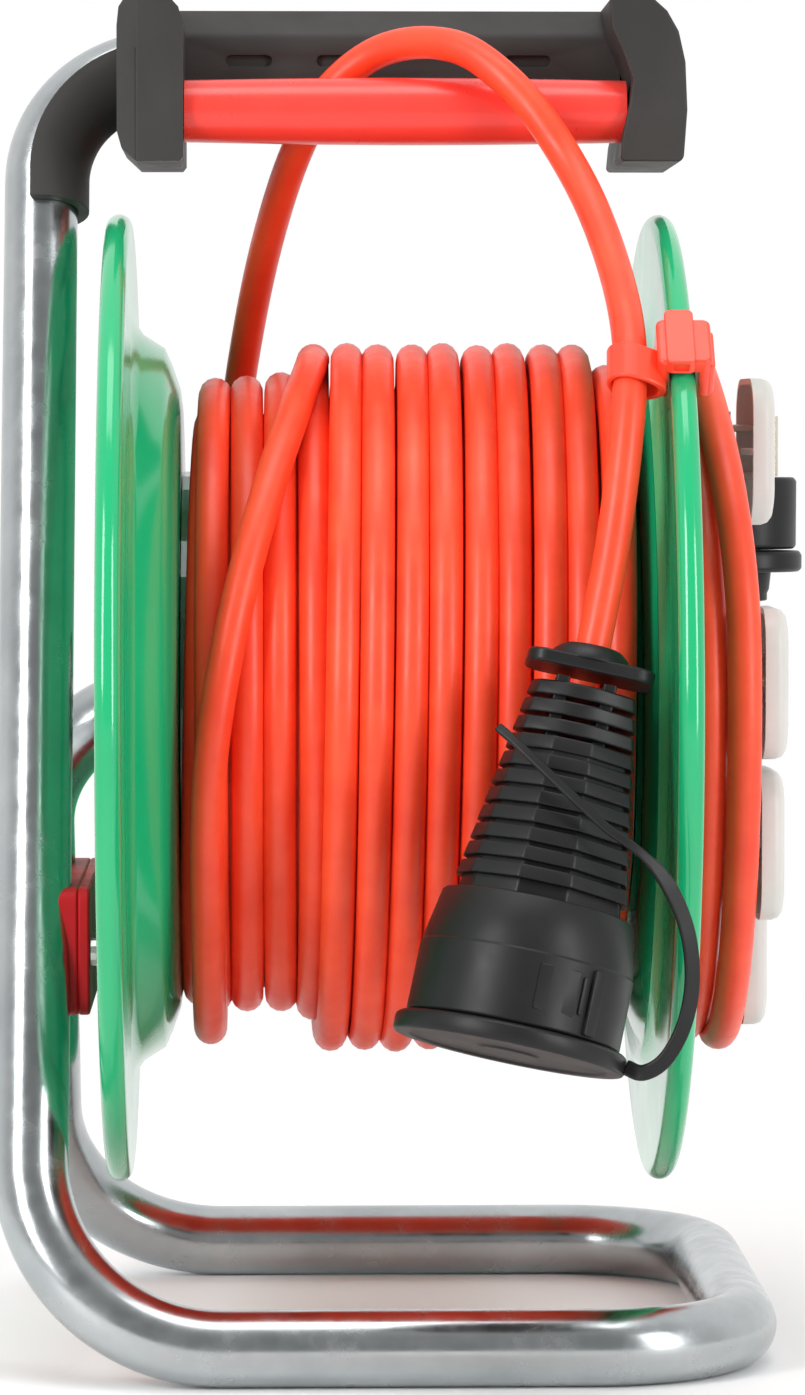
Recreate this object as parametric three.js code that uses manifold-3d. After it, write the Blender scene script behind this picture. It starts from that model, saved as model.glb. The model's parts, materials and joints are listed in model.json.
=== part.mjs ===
// A cable reel: one bent steel tube carries a handle at the top and, at its other end, the axle of a
// plastic drum. The drum holds the wound cord and a ring of sprung-lid sockets.
// Units are millimetres, +Z is up, +X runs along the drum's axle towards the sockets, -Y is the front.
import * as THREE from 'three';
import { mergeVertices } from 'three/addons/utils/BufferGeometryUtils.js';
import Module from 'manifold-3d';

const wasm = await Module();
wasm.setup();

// ---- driving dimensions ----
const GAP = 0.3;
const AXLE_Z = 191;
const CENTRE_SHIFT = -0.45;

const TUBE_R = 11;
const TUBE_SIDES = 14;
const TUBE_SECTION_R = 11.25;
const LEFT_X = -104.6;
const RIGHT_X = 101;
const FOOT_Y = 105;
const HANDLE_Y = 25;
const HANDLE_Z = 382;
const HANDLE_END_X = 78;
const ELBOW_R = 38;
const ELBOW_COVER_END_Z = 337;
const ELBOW_COVER_R = TUBE_R + 3.6;
const LOWER_BEND_R = 55;
const FOOT_CORNER_R = 45;
const AXLE_BEND_R = 46;
const AXLE_END_X = 81;

const GRIP_Z = [366, 399];
const GRIP_Y = [8, 42];
const CHEEK_Z = [350.7, 399];
const CHEEK_FRONT_Y = -29;
const LEFT_CHEEK_X = [-81, -61.3];
const RIGHT_CHEEK_X = [68, 88];
const BAR_X = [-66, 73];
const BAR_Y = -16;
const BAR_Z = 366;
const BAR_R = 10;
const HANDLE_SCREW_X = [-70, 76];
const HANDLE_SCREW_R = 3.4;
const HANDLE_SCREW_LENGTH = 2.4;

const FLANGE_R = 145;
const HUB_BORE_R = 16.6;
const LEFT_HUB_FACE = 62;
const RIGHT_HUB_FACE = 70.5;
const HUB_R = 26;
const HUB_MOUTH_R = 22.5;
const LEFT_BUSH = [36, 52];
const RIGHT_BUSH = [RIGHT_HUB_FACE + 0.5, RIGHT_HUB_FACE + 9];
const RIM_INNER = 77;
const RIM_OUTER = 84.3;
const WALL = 3.2;
const CORE_R = 68;
const COLLAR_R = 20;
const WASHER_R = 17;
const WASHER_HOLE_R = 4;
const AXLE_SCREW_R = 7;
const TIE_BOLTS = 3;
const TIE_BOLT_R = 2.5;
const TIE_R = 45;
const ROUND = 44;

const CORD_R = 5;
const TOP_TURN_R = 101.5;
const WINDING_R = 106.5;
const LOW_WINDING_R = 93.6;
const WINDING_X = [-61.4, 69.9];
const WINDING_STEP_X = -17;

const SOCKET_RING_R = 76;
const WELL_RING_R = 62.5;
const SOCKET_ANGLES = [13, 84, 121, 172];
const SOCKET_WELL_R = 18;
const HOUSING_R = 83;
const HOUSING_BACK_X = RIM_OUTER + 1.2;
const SOCKET_FACE_X = 98;
const LID_HALF = 22;
const LID_FRONT = 2.8;
const LID_DEPTH = 7;
const LID_WALL = 2.4;
const LID_PIN_X = 102.2;
const LID_PAST_PIN = 2;
const PIN_R = 1.1;
const PIN_LENGTH = 24;
const SPRING_R = 2.3;
const SPRING_HALF = 3;
const FIRST_LID_AJAR = 2;
const LID_CORNER = 8;
const CONTACT_OFFSET = 9.5;
const CONTACT_R = 2.4;
const BUTTON_R = 2.6;
const BUTTON_Z = AXLE_Z - 4;
const BUTTON_TIP_X = 120;
const GLAND_ANGLE = 200;
const GLAND_RING_R = 89.2;
const SUPPLY_COIL_R = [96.4, 106.8];
const SUPPLY_COIL_X = [85.3, 103];
const PLUG_X = 109;
const PLUG_Y = 38;

// ---- helpers ----
const reel = new THREE.Group();
reel.position.x = CENTRE_SHIFT;
reel.updateMatrixWorld(true);

function paint(color, roughness, metalness = 0) {
  return new THREE.MeshStandardMaterial({ color, roughness, metalness });
}
const ZINC = paint(0xb9bfc2, 0.3, 1);
const BLACK = paint(0x3a3938, 0.6);
const RED = paint(0xf5402f, 0.35);
const DARK_RED = paint(0xb8131b, 0.35);
const GREEN = paint(0x18b071, 0.25);
const ORANGE = paint(0xff5230, 0.45);
const GREY = paint(0xd6d0ca, 0.5);
const STEEL = paint(0x9a9a98, 0.3, 1);
const BRASS = paint(0xc8a24a, 0.3, 1);
const WHITE = paint(0xe8e6e0, 0.5);

function add(name, geometry, material, parent = reel) {
  const mesh = new THREE.Mesh(geometry, material);
  mesh.name = name;
  parent.add(mesh);
  return mesh;
}

function solid(geometry) {
  const bare = geometry.clone();
  bare.deleteAttribute('normal');
  bare.deleteAttribute('uv');
  const welded = mergeVertices(bare, 1e-4);
  return new wasm.Manifold(new wasm.Mesh({
    numProp: 3,
    vertProperties: new Float32Array(welded.attributes.position.array),
    triVerts: new Uint32Array(welded.index.array),
  }));
}

function toGeometry(manifold) {
  const mesh = manifold.getMesh();
  const geometry = new THREE.BufferGeometry();
  geometry.setAttribute('position', new THREE.BufferAttribute(mesh.vertProperties, 3));
  geometry.setIndex(new THREE.BufferAttribute(mesh.triVerts, 1));
  return geometry;
}

function join(...geometries) {
  return toGeometry(geometries.map(solid).reduce((sum, next) => sum.add(next)));
}

function cut(geometry, ...tools) {
  return toGeometry(tools.map(solid).reduce((rest, tool) => rest.subtract(tool), solid(geometry)));
}

function box(x, y, z) {
  const geometry = new THREE.BoxGeometry(x[1] - x[0], y[1] - y[0], z[1] - z[0]);
  geometry.translate((x[0] + x[1]) / 2, (y[0] + y[1]) / 2, (z[0] + z[1]) / 2);
  return geometry;
}

// A rod or disc lying along X.
function rodX(radius, x, y, z, sides = 16) {
  const geometry = new THREE.CylinderGeometry(radius, radius, x[1] - x[0], sides);
  geometry.rotateZ(Math.PI / 2);
  geometry.translate((x[0] + x[1]) / 2, y, z);
  return geometry;
}

// A body of revolution about the drum's axle, from points of (radius, x).
function turned(points, sides = ROUND) {
  const outline = points.map(([r, x]) => new THREE.Vector2(r, x));
  outline.push(outline[0].clone());
  const geometry = new THREE.LatheGeometry(outline, sides);
  geometry.rotateZ(-Math.PI / 2);
  geometry.translate(0, 0, AXLE_Z);
  return geometry;
}

// The four corners of a plain ring's section.
function ringPoints(r, x) {
  return [[r[0], x[0]], [r[1], x[0]], [r[1], x[1]], [r[0], x[1]]];
}

// A path that is stepped only where it bends: t runs evenly over its stations.
class StationPath extends THREE.Curve {
  constructor(stations) {
    super();
    this.stations = stations;
  }
  getUtoTmapping(u) {
    return u;
  }
  getPoint(t, target = new THREE.Vector3()) {
    const place = t * (this.stations.length - 1);
    const index = Math.min(Math.floor(place), this.stations.length - 2);
    return target.lerpVectors(this.stations[index], this.stations[index + 1], place - index);
  }
  getTangent(t, target = new THREE.Vector3()) {
    const last = this.stations.length - 1;
    const index = Math.round(t * last);
    const before = this.stations[Math.max(index - 1, 0)];
    const after = this.stations[Math.min(index + 1, last)];
    const here = this.stations[index];
    const into = here.clone().sub(before).normalize();
    const out = after.clone().sub(here).normalize();
    return target.copy(into.add(out)).normalize();
  }
}

// Corner points joined by straight runs and round bends of the given radii.
function bentStations(corners, radii, stepsPerBend) {
  const points = corners.map((corner) => new THREE.Vector3(...corner));
  const stations = [points[0]];
  for (let i = 1; i < points.length - 1; i++) {
    const into = points[i].clone().sub(points[i - 1]).normalize();
    const out = points[i + 1].clone().sub(points[i]).normalize();
    const turn = into.angleTo(out);
    const setback = radii[i - 1] * Math.tan(turn / 2);
    const start = points[i].clone().addScaledVector(into, -setback);
    const inward = out.clone().sub(into.clone().multiplyScalar(into.dot(out))).normalize();
    const centre = start.clone().addScaledVector(inward, radii[i - 1]);
    for (let step = 0; step <= stepsPerBend; step++) {
      const angle = (turn * step) / stepsPerBend;
      const radial = inward.clone().multiplyScalar(-Math.cos(angle) * radii[i - 1]);
      const along = into.clone().multiplyScalar(Math.sin(angle) * radii[i - 1]);
      stations.push(centre.clone().add(radial).add(along));
    }
  }
  stations.push(points[points.length - 1]);
  return stations;
}

function circleShape(radius, sides) {
  const shape = new THREE.Shape();
  for (let i = 0; i < sides; i++) {
    const angle = (2 * Math.PI * i) / sides;
    const point = [radius * Math.cos(angle), radius * Math.sin(angle)];
    if (i === 0) {
      shape.moveTo(...point);
    } else {
      shape.lineTo(...point);
    }
  }
  return shape;
}

function pipe(path, radius, sides, steps) {
  return new THREE.ExtrudeGeometry(circleShape(radius, sides), { steps, extrudePath: path });
}

function cordAlong(points, steps, radius = CORD_R) {
  const curve = new THREE.CatmullRomCurve3(points.map((point) => new THREE.Vector3(...point)));
  return pipe(curve, radius, 10, steps);
}

// ---- steel frame ----
const frameCorners = [
  [HANDLE_END_X, HANDLE_Y, HANDLE_Z],
  [LEFT_X, HANDLE_Y, HANDLE_Z],
  [LEFT_X, -FOOT_Y, TUBE_R],
  [RIGHT_X, -FOOT_Y, TUBE_R],
  [RIGHT_X, FOOT_Y, TUBE_R],
  [LEFT_X - 2, FOOT_Y, TUBE_R],
  [LEFT_X - 2, 0, AXLE_Z],
  [AXLE_END_X, 0, AXLE_Z],
];
const frameBends = [ELBOW_R, LOWER_BEND_R, FOOT_CORNER_R, FOOT_CORNER_R, LOWER_BEND_R, AXLE_BEND_R];
const frameStations = bentStations(frameCorners, frameBends, 6);
const frameTube = pipe(new StationPath(frameStations), TUBE_SECTION_R, TUBE_SIDES, frameStations.length - 1);
add('frame_tube', cut(frameTube, box([-200, 200], [-200, 200], [-20, 0])), ZINC);

// The point of the front or rear upright at height z.
function uprightY(side, z) {
  const top = side < 0 ? [HANDLE_Y, HANDLE_Z] : [0, AXLE_Z];
  const share = (z - TUBE_R) / (top[1] - TUBE_R);
  return side * FOOT_Y + (top[0] - side * FOOT_Y) * share;
}

// ---- bracket that ties the two uprights below the axle ----
const BRACKET_Z = [102, 139];
const BRACKET_MID_Z = (BRACKET_Z[0] + BRACKET_Z[1]) / 2;
const BRACKET_OVERLAP = 24;
const BRACKET_SCREW_R = 4;
const BRACKET_SCREW_HEAD = 1.9;
const BRACKET_Y = [uprightY(-1, BRACKET_MID_Z) - BRACKET_OVERLAP, uprightY(1, BRACKET_MID_Z) + BRACKET_OVERLAP];
const frameKeepOut = pipe(new StationPath(frameStations), TUBE_SECTION_R + GAP, TUBE_SIDES,
  frameStations.length - 1);
const BRACKET_X = [LEFT_X + 0.5, -88];
add('upright_bracket', cut(box(BRACKET_X, BRACKET_Y, BRACKET_Z), frameKeepOut), DARK_RED);
for (const side of [-1, 1]) {
  const headX = [BRACKET_X[1] + GAP, BRACKET_X[1] + GAP + BRACKET_SCREW_HEAD];
  const screw = rodX(BRACKET_SCREW_R, headX, uprightY(side, BRACKET_MID_Z), BRACKET_MID_Z, 12);
  add(side < 0 ? 'bracket_screw_front' : 'bracket_screw_rear', screw, STEEL);
}

// ---- handle ----
const splitY = HANDLE_Y;
const frontBeam = box([LEFT_CHEEK_X[0], RIGHT_CHEEK_X[1]], [GRIP_Y[0], splitY - GAP / 2], GRIP_Z);
const rearBeam = box([LEFT_CHEEK_X[0], RIGHT_CHEEK_X[1]], [splitY + GAP / 2, GRIP_Y[1]], GRIP_Z);
const endRoomX = [HANDLE_END_X - 5, HANDLE_END_X + 0.5];
const endRoom = rodX(TUBE_SECTION_R + GAP, endRoomX, HANDLE_Y, HANDLE_Z, TUBE_SIDES);
const barSocket = box([BAR_X[0] - GAP, BAR_X[1] + GAP],
  [BAR_Y - BAR_R - GAP, BAR_Y + BAR_R + GAP], [BAR_Z - BAR_R - GAP, BAR_Z + BAR_R + GAP]);
const cheeks = [LEFT_CHEEK_X, RIGHT_CHEEK_X].map((x) => box(x, [CHEEK_FRONT_Y, splitY - GAP / 2], CHEEK_Z));
add('handle_grip_front', cut(join(frontBeam, ...cheeks), frameKeepOut, endRoom, barSocket), BLACK);
add('handle_grip_rear', cut(rearBeam, frameKeepOut, endRoom), BLACK);
add('cable_guide_bar', rodX(BAR_R, BAR_X, BAR_Y, BAR_Z), RED);

const elbowStations = bentStations(
  [[LEFT_X + ELBOW_R + 5, HANDLE_Y, HANDLE_Z], [LEFT_X, HANDLE_Y, HANDLE_Z],
    [LEFT_X, uprightY(-1, ELBOW_COVER_END_Z), ELBOW_COVER_END_Z]],
  [ELBOW_R], 6);
const elbowOuter = pipe(new StationPath(elbowStations), ELBOW_COVER_R, TUBE_SIDES, elbowStations.length - 1);
const cheekRoom = box([LEFT_CHEEK_X[0] - GAP, 0], [-100, 100], [300, 420]);
add('handle_elbow_cover', cut(elbowOuter, frameKeepOut, cheekRoom), BLACK);

HANDLE_SCREW_X.forEach((x, index) => {
  const head = new THREE.CylinderGeometry(HANDLE_SCREW_R, HANDLE_SCREW_R, HANDLE_SCREW_LENGTH, 12);
  head.translate(x, GRIP_Y[1] + GAP + HANDLE_SCREW_LENGTH / 2, HANDLE_Z);
  add(`handle_screw_${index + 1}`, head, STEEL);
});

// ---- drum ----
// Points of (radius, distance from the drum's middle) from the hub's face out round the rim and back.
function dishProfile(hubFace) {
  return [
    [88, hubFace], [105, hubFace + 5], [112, RIM_INNER - 1], [134, RIM_INNER], [141, RIM_INNER + 0.2],
    [144.2, RIM_INNER + 1.6], [FLANGE_R, (RIM_INNER + RIM_OUTER) / 2], [144.2, RIM_OUTER - 1.6],
    [141, RIM_OUTER], [135, RIM_OUTER - 1], [131, RIM_INNER + WALL], [113, RIM_INNER + WALL - 1],
    [103, hubFace + 5 + WALL], [87, hubFace + WALL],
  ];
}
// The left hub stands inwards, so the tube can still be bending where it enters the drum.
const leftHub = [[HUB_MOUTH_R, LEFT_HUB_FACE + WALL], [HUB_MOUTH_R, LEFT_BUSH[1]], [HUB_BORE_R, LEFT_BUSH[1]],
  [HUB_BORE_R, LEFT_BUSH[0]], [HUB_R, LEFT_BUSH[0]], [HUB_R, LEFT_HUB_FACE]];
const rightHub = [[HUB_R, RIGHT_HUB_FACE + WALL], [HUB_R, RIGHT_BUSH[1]], [HUB_BORE_R, RIGHT_BUSH[1]],
  [HUB_BORE_R, RIGHT_HUB_FACE]];
const mirrored = (points) => points.map(([r, x]) => [r, -x]).reverse();
add('drum_flange_left', turned(mirrored([...dishProfile(LEFT_HUB_FACE), ...leftHub])), GREEN);
add('drum_flange_right', turned([...dishProfile(RIGHT_HUB_FACE), ...rightHub]), GREEN);
const coreX = [GAP - LEFT_HUB_FACE, RIGHT_HUB_FACE - GAP];
add('drum_core', turned(ringPoints([CORE_R - 3, CORE_R], coreX), 32), GREEN);

const bushRadii = [TUBE_SECTION_R + GAP, HUB_BORE_R - GAP];
add('hub_bush_left', turned(ringPoints(bushRadii, [-LEFT_BUSH[1], -LEFT_BUSH[0]]), 20), WHITE);
add('hub_bush_right', turned(ringPoints(bushRadii, RIGHT_BUSH), 20), WHITE);
const COLLAR_X = [-56.5, -LEFT_BUSH[1] - 2 * GAP];
const WASHER_X = [AXLE_END_X + GAP, AXLE_END_X + 2];
const AXLE_SCREW_X = [WASHER_X[1] + GAP, AXLE_END_X + 6];
add('axle_stop_collar', turned(ringPoints([TUBE_SECTION_R + GAP, COLLAR_R], COLLAR_X), 20), STEEL);
add('axle_washer', turned(ringPoints([WASHER_HOLE_R, WASHER_R], WASHER_X), 20), STEEL);
add('axle_screw', rodX(AXLE_SCREW_R, AXLE_SCREW_X, 0, AXLE_Z, 12), STEEL);

for (let i = 0; i < TIE_BOLTS; i++) {
  const angle = ((2 * i + 1) * Math.PI) / TIE_BOLTS;
  const rod = rodX(TIE_BOLT_R, coreX, TIE_R * Math.sin(angle), AXLE_Z + TIE_R * Math.cos(angle), 8);
  add(`drum_tie_bolt_${i + 1}`, rod, STEEL);
}

const windingPoints = [
  [CORE_R + GAP, WINDING_X[0]], [LOW_WINDING_R, WINDING_X[0]], [LOW_WINDING_R, WINDING_STEP_X],
  [WINDING_R, WINDING_STEP_X], [WINDING_R, WINDING_X[1]], [CORE_R + GAP, WINDING_X[1]],
];
add('main_cord_winding', turned(windingPoints), ORANGE);

// ---- main cord: the last loose turn, then up through the handle and down to the rim clip ----
const LOOSE_TURN_R = 99.4;
const LOOSE_TURN_END = 272;
const tailPoints = [];
for (let angle = 0; angle <= LOOSE_TURN_END; angle += 16) {
  const radians = THREE.MathUtils.degToRad(angle);
  const lean = THREE.MathUtils.smoothstep(angle, 0, 110);
  const radius = TOP_TURN_R + (LOOSE_TURN_R - TOP_TURN_R) * Math.min(angle / 40, 1);
  tailPoints.push([-22.7 - 31 * lean, -radius * Math.sin(radians), AXLE_Z + radius * Math.cos(radians)]);
}
const freeRoute = [
  [-52, 96, 222], [-49, 86, 254], [-45, 68, 287], [-39, 43, 319], [-32, 19, 344], [-25, 3.5, 361], [-17, 0, 374],
  [-5, -5, 383.5], [8, -14, 386.5], [21, -25, 384], [32, -33, 376], [42, -38, 365], [51, -43, 351],
  [58, -54, 336], [63, -72, 319], [65.5, -92, 303], [65.8, -104.5, 288], [64, -113.5, 268], [60.4, -119.8, 242],
  [56.4, -123.6, 221], [53.9, -125.8, 209.3],
];
const TAIL_STEPS = 76;
const tailRoute = [...tailPoints, ...freeRoute];
add('main_cord_tail', cordAlong(tailRoute, TAIL_STEPS), ORANGE);

// ---- rim clip: a band round the cord and a buckle on the flange's rim ----
const CLIP_ANGLE = 45;
const CLIP_X = [72.5, 89.5];
const CLIP_HALF_WIDTH = 11;
const CLIP_RADII = [135.5, 151];
const CLIP_BAND_R = 7.8;
const CLIP_BAND_LENGTH = 13;
const RIM_ROOM = 0.6;
const CLIP_CORD_POINT = [65.8, -104.5, 288];
const CLIP_CORD_DIRECTION = new THREE.Vector3(-0.5, -10.8, -17.5).normalize();
const clipBlock = box(CLIP_X, [-CLIP_HALF_WIDTH, CLIP_HALF_WIDTH], CLIP_RADII);
clipBlock.rotateX(THREE.MathUtils.degToRad(CLIP_ANGLE));
clipBlock.translate(0, 0, AXLE_Z);
const band = new THREE.CylinderGeometry(CLIP_BAND_R, CLIP_BAND_R, CLIP_BAND_LENGTH, 18);
const bandTurn = new THREE.Quaternion().setFromUnitVectors(new THREE.Vector3(0, 1, 0), CLIP_CORD_DIRECTION);
band.applyQuaternion(bandTurn);
band.translate(...CLIP_CORD_POINT);
const rimRoomX = [RIM_INNER - RIM_ROOM, RIM_OUTER + RIM_ROOM];
const rimRoom = turned(ringPoints([TOP_TURN_R, FLANGE_R + RIM_ROOM], rimRoomX));
const cordRoom = cordAlong(tailRoute, TAIL_STEPS, CORD_R + RIM_ROOM);
add('rim_clip', cut(join(clipBlock, band), rimRoom, cordRoom), RED);

// ---- coupling on the cord's end: pointing down and forwards, leaning to the left ----
const coupling = new THREE.Group();
coupling.position.set(53.6, -126, 208);
const COUPLING_DOWN = new THREE.Vector3(-24.6, -22.1, -111).normalize();
coupling.quaternion.setFromUnitVectors(new THREE.Vector3(0, 0, -1), COUPLING_DOWN);
reel.add(coupling);
coupling.updateMatrixWorld(true);

// A body of revolution about the coupling's own axis, from points of (radius, distance down).
function couplingTurned(points, sides = 28) {
  const outline = points.map(([r, down]) => new THREE.Vector2(r, -down));
  outline.push(outline[0].clone());
  const geometry = new THREE.LatheGeometry(outline.reverse(), sides);
  geometry.rotateX(Math.PI / 2);
  return geometry;
}
const CORD_HOLE_R = CORD_R + 0.4;
const PLATE_R = 18.5;
const PLATE_DOWN = [2, 5];
const RELIEF_LENGTH = 71;
const SHOULDER_DOWN = 87;
const BODY_END = 107;
const BODY_R = 30;
const BODY_BORE_R = 24.5;
const INSERT_DOWN = [82.4, 88];
const INSERT_FLOOR = 2.1;
const INSERT_WALL = 4.5;
const CAP_R = 32.6;
const CAP_END = 113;
const STRAP_R = 2.2;
add('coupling_strain_relief', couplingTurned([
  [CORD_HOLE_R, -3], [9, -3], [PLATE_R, PLATE_DOWN[0]], [PLATE_R, PLATE_DOWN[1]], [13.5, 9],
  [25.5, RELIEF_LENGTH], [CORD_HOLE_R, RELIEF_LENGTH],
]), BLACK, coupling);
add('coupling_body', couplingTurned([
  [18, RELIEF_LENGTH + GAP], [26.5, RELIEF_LENGTH + GAP], [BODY_R, SHOULDER_DOWN], [BODY_R, BODY_END],
  [BODY_BORE_R, BODY_END], [BODY_BORE_R, INSERT_DOWN[0] - 0.4], [18, INSERT_DOWN[0] - 0.4],
]), BLACK, coupling);
const insertR = BODY_BORE_R - 0.5;
add('coupling_insert', couplingTurned([
  [0.001, INSERT_DOWN[0]], [insertR, INSERT_DOWN[0]], [insertR, INSERT_DOWN[1]],
  [insertR - INSERT_WALL, INSERT_DOWN[1]], [insertR - INSERT_WALL, INSERT_DOWN[0] + INSERT_FLOOR],
  [0.001, INSERT_DOWN[0] + INSERT_FLOOR],
]), BLACK, coupling);
add('coupling_cap', couplingTurned([
  [0.001, BODY_END + GAP], [CAP_R, BODY_END + GAP], [CAP_R, CAP_END - 1], [CAP_R - 1, CAP_END],
  [0.001, CAP_END],
]), BLACK, coupling);
const strapPath = new THREE.CatmullRomCurve3([
  [36, 0, 110.5], [41, -2, 108], [46, -4, 96], [45.5, -6, 80], [40, -9, 64], [30, -14, 52], [24, -16, 44],
].map(([x, y, down]) => new THREE.Vector3(x, y, -down)));
add('coupling_strap', pipe(strapPath, STRAP_R, 8, 14), BLACK, coupling);

// ---- socket face ----
// The (y, z) place on a ring about the axle, by degrees from the top towards the front.
function onRing(degrees, radius = SOCKET_RING_R) {
  const angle = THREE.MathUtils.degToRad(degrees);
  return [-radius * Math.sin(angle), AXLE_Z + radius * Math.cos(angle)];
}

const housingDisc = rodX(HOUSING_R, [HOUSING_BACK_X, SOCKET_FACE_X], 0, AXLE_Z, 40);
const BEYOND_X = 140;
const HOUSING_WALL = 2.5;
const CUTOUT_R = 12;
const CUTOUT_X = [88.2, 95.2];
const wells = SOCKET_ANGLES.map((degrees) =>
  rodX(SOCKET_WELL_R, [HOUSING_BACK_X + HOUSING_WALL, BEYOND_X], ...onRing(degrees, WELL_RING_R), 24));
const plugBay = box([HOUSING_BACK_X + HOUSING_WALL, BEYOND_X], [15, 95], [200, 300]);
const cutoutPocket = rodX(CUTOUT_R + 3, [HOUSING_BACK_X - 5, CUTOUT_X[1] + 0.6], 0, AXLE_Z, 20);
const buttonHole = rodX(BUTTON_R + 0.4, [HOUSING_BACK_X, BEYOND_X], 0, BUTTON_Z, 14);
add('socket_housing', cut(housingDisc, ...wells, plugBay, cutoutPocket, buttonHole), GREY);

// A lid's outline with its corners cut off, set in from its edge, between two distances from the pin.
function lidPlate(nearX, farX, inset) {
  const half = LID_HALF - inset;
  const corner = LID_CORNER - inset / 2;
  const outline = [
    [half, corner - half], [half, half - corner], [half - corner, half], [corner - half, half],
    [-half, half - corner], [-half, corner - half], [corner - half, -half], [half - corner, -half],
  ];
  const shape = new THREE.Shape(outline.map(([across, up]) => new THREE.Vector2(across, up)));
  const geometry = new THREE.ExtrudeGeometry(shape, { depth: farX - nearX, bevelEnabled: false });
  geometry.rotateX(Math.PI / 2);
  geometry.rotateZ(Math.PI / 2);
  geometry.translate(nearX, LID_PAST_PIN - LID_HALF, 0);
  return geometry;
}

SOCKET_ANGLES.forEach((degrees, index) => {
  const number = index + 1;
  const [wellY, wellZ] = onRing(degrees, WELL_RING_R);
  const contactHoles = [-CONTACT_OFFSET, CONTACT_OFFSET].map((offset) =>
    rodX(CONTACT_R + 0.1, [HOUSING_BACK_X, BEYOND_X], wellY + offset, wellZ, 8));
  const insertX = [HOUSING_BACK_X + HOUSING_WALL + GAP, HOUSING_BACK_X + 6.5];
  const insertDisc = rodX(SOCKET_WELL_R - 0.5, insertX, wellY, wellZ, 20);
  add(`socket_insert_${number}`, cut(insertDisc, ...contactHoles), GREY);

  const [lidY, lidZ] = onRing(degrees);
  const hinge = new THREE.Group();
  hinge.position.set(LID_PIN_X, lidY + LID_HALF - LID_PAST_PIN, lidZ);
  reel.add(hinge);
  const lid = new THREE.Group();
  lid.rotation.z = THREE.MathUtils.degToRad(index === 0 ? FIRST_LID_AJAR : 0);
  hinge.add(lid);
  const outer = lidPlate(LID_FRONT, LID_FRONT + LID_DEPTH, 0);
  const hollow = lidPlate(LID_FRONT - 1, LID_FRONT + LID_DEPTH - LID_WALL, LID_WALL);
  add(`socket_lid_${number}`, cut(outer, hollow), GREY, lid);
  const pin = new THREE.CylinderGeometry(PIN_R, PIN_R, PIN_LENGTH, 8);
  pin.rotateX(Math.PI / 2);
  add(`lid_pin_${number}`, pin, STEEL, hinge);
  const spring = turned(ringPoints([PIN_R + GAP, SPRING_R], [-SPRING_HALF, SPRING_HALF]), 10);
  spring.translate(0, 0, -AXLE_Z);
  spring.rotateY(Math.PI / 2);
  add(`lid_spring_${number}`, spring, STEEL, hinge);
});

add('thermal_cutout', rodX(CUTOUT_R, CUTOUT_X, 0, AXLE_Z, 16), BLACK);
add('reset_button', rodX(BUTTON_R, [SOCKET_FACE_X + 0.2, BUTTON_TIP_X], 0, BUTTON_Z, 12), BLACK);
add('terminal_block', box([75, 84], [28, 52], [174, 186]), WHITE);

// ---- supply cord: gland, two turns round the socket face, plug ----
const GLAND_R = 5.8;
const GLAND_LENGTH = 22;
const GLAND_X = 92;
const PLUG_RELIEF_Z = [204.3, 228];
const PLUG_COLLAR_R = 19.3;
const PLUG_BODY_Z = [234.3, 257];
const PLUG_BODY_R = 17.5;
const PLUG_PIN_LENGTH = 18.5;
const gland = new THREE.Group();
gland.position.z = AXLE_Z;
gland.rotation.x = THREE.MathUtils.degToRad(GLAND_ANGLE);
reel.add(gland);
const glandBody = new THREE.CylinderGeometry(GLAND_R, GLAND_R, GLAND_LENGTH, 14);
glandBody.translate(GLAND_X, 0, GLAND_RING_R);
add('supply_gland', glandBody, BLACK, gland);
add('supply_cord_coil', turned(ringPoints(SUPPLY_COIL_R, SUPPLY_COIL_X)), ORANGE);
const supplyEnd = [
  [108.6, 55, 105], [108.8, 66, 113.5], [109, 71, 126], [109, 67, 141], [109, 57, 156], [109, 46, 172],
  [109, 39, 189], [109, PLUG_Y, 203.6],
];
add('supply_cord_end', cordAlong(supplyEnd, 14), ORANGE);

const plug = new THREE.Group();
plug.position.set(PLUG_X, PLUG_Y, 0);
reel.add(plug);
// A body of revolution about the plug's upright axis, from points of (radius, height).
function plugTurned(points) {
  const geometry = new THREE.LatheGeometry(points.map(([r, z]) => new THREE.Vector2(r, z)), 24);
  geometry.rotateX(Math.PI / 2);
  return geometry;
}
add('supply_plug_body', plugTurned([
  [0, PLUG_BODY_Z[0]], [PLUG_BODY_R, PLUG_BODY_Z[0]], [PLUG_BODY_R, PLUG_BODY_Z[1]], [0, PLUG_BODY_Z[1]],
]), BLACK, plug);
add('supply_plug_relief', plugTurned([
  [0, PLUG_RELIEF_Z[0]], [7, PLUG_RELIEF_Z[0]], [9, PLUG_RELIEF_Z[1]], [PLUG_COLLAR_R, PLUG_RELIEF_Z[1]],
  [PLUG_COLLAR_R, PLUG_BODY_Z[0] - GAP], [0, PLUG_BODY_Z[0] - GAP],
]), BLACK, plug);
for (const side of [-1, 1]) {
  const pin = new THREE.CylinderGeometry(CONTACT_R, CONTACT_R, PLUG_PIN_LENGTH, 12);
  pin.rotateX(Math.PI / 2);
  pin.translate(CONTACT_OFFSET * side, 0, PLUG_BODY_Z[1] + GAP + PLUG_PIN_LENGTH / 2);
  add(side < 0 ? 'supply_plug_pin_left' : 'supply_plug_pin_right', pin, BRASS, plug);
}

export default reel;
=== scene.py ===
"""The cable reel's looks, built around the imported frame. Metres, +Z up, -Y is the front."""
import json
import math

import bpy
import bmesh
from mathutils import Matrix, Vector


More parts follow.
